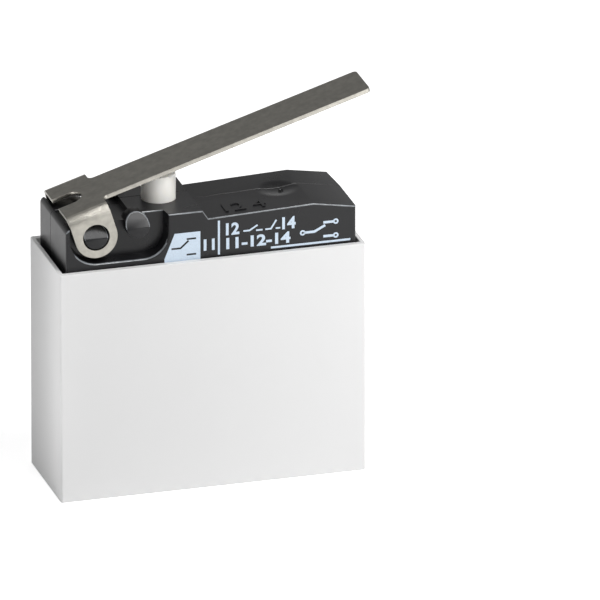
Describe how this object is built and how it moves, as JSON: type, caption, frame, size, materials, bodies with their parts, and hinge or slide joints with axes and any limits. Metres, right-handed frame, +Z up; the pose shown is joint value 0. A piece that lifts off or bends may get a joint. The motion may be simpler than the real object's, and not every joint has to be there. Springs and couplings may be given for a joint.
{
  "type": "auxiliary contact block",
  "caption": "Subminiature snap-action changeover contact block with a hinged steel lever and a round push pin, seated in a light open-ended sleeve that shrouds its terminals.",
  "frame": {"origin": "centre of the sleeve's open bottom, on the plane it stands on", "axes": "+X towards the lever's free tip, +Y towards the back, +Z up out of the sleeve"},
  "size_m": [0.0218, 0.0074, 0.0262],
  "materials": {
    "sleeve_plastic": "smooth moulded",
    "black_moulding": "fine spark-eroded moulded",
    "printing_ink": "pad printed",
    "ivory_plastic": "smooth moulded",
    "stainless_sheet": "cold rolled",
    "brass_strip": "rolled",
    "spring_bronze": "rolled",
    "silver_alloy": "satin",
    "spring_wire": "drawn"
  },
  "bodies": {
    "housing": {"terminal_sleeve": "sleeve_plastic", "switch_case": "black_moulding", "switch_cover": "black_moulding", "common_terminal": "brass_strip", "make_terminal": "brass_strip", "break_terminal": "brass_strip", "make_contact": "silver_alloy", "break_contact": "silver_alloy"},
    "lever": {"actuating_lever": "stainless_sheet"},
    "push_pin": {"plunger": "ivory_plastic"},
    "rocker_plate": {"rocker": "spring_bronze", "snap_spring": "spring_wire"},
    "swing_arm": {"contact_arm": "spring_bronze", "moving_contact": "silver_alloy"}
  },
  "joints": [
    {"name": "lever_pivot", "type": "hinge", "parent": "housing", "child": "lever", "pos_m": [-0.0078, 0, 0.0183], "axis": [0, 1, 0], "range_deg": [0, 14], "stiffness_Nm_per_rad": 0.01, "springref_deg": -8.59},
    {"name": "plunger_slide", "type": "slide", "parent": "housing", "child": "push_pin", "axis": [0, 0, -1], "range_m": [0, 0.00121]},
    {"name": "rocker_swing", "type": "hinge", "parent": "housing", "child": "rocker_plate", "pos_m": [-0.00851, 0, 0.01666], "axis": [0, 1, 0], "range_deg": [0, 12.3], "deforming": ["snap_spring"]},
    {"name": "arm_swing", "type": "hinge", "parent": "housing", "child": "swing_arm", "pos_m": [-0.00786, 0, 0.01586], "axis": [0, 1, 0], "range_deg": [0, 2]}
  ],
  "couplings": [
    {"joint": "plunger_slide", "follows": "lever_pivot", "m_per_rad": 0.0049273},
    {"joint": "rocker_swing", "follows": "lever_pivot", "ratio": 0.87443},
    {"joint": "arm_swing", "follows": "lever_pivot", "ratio": 0.14154}
  ]
}
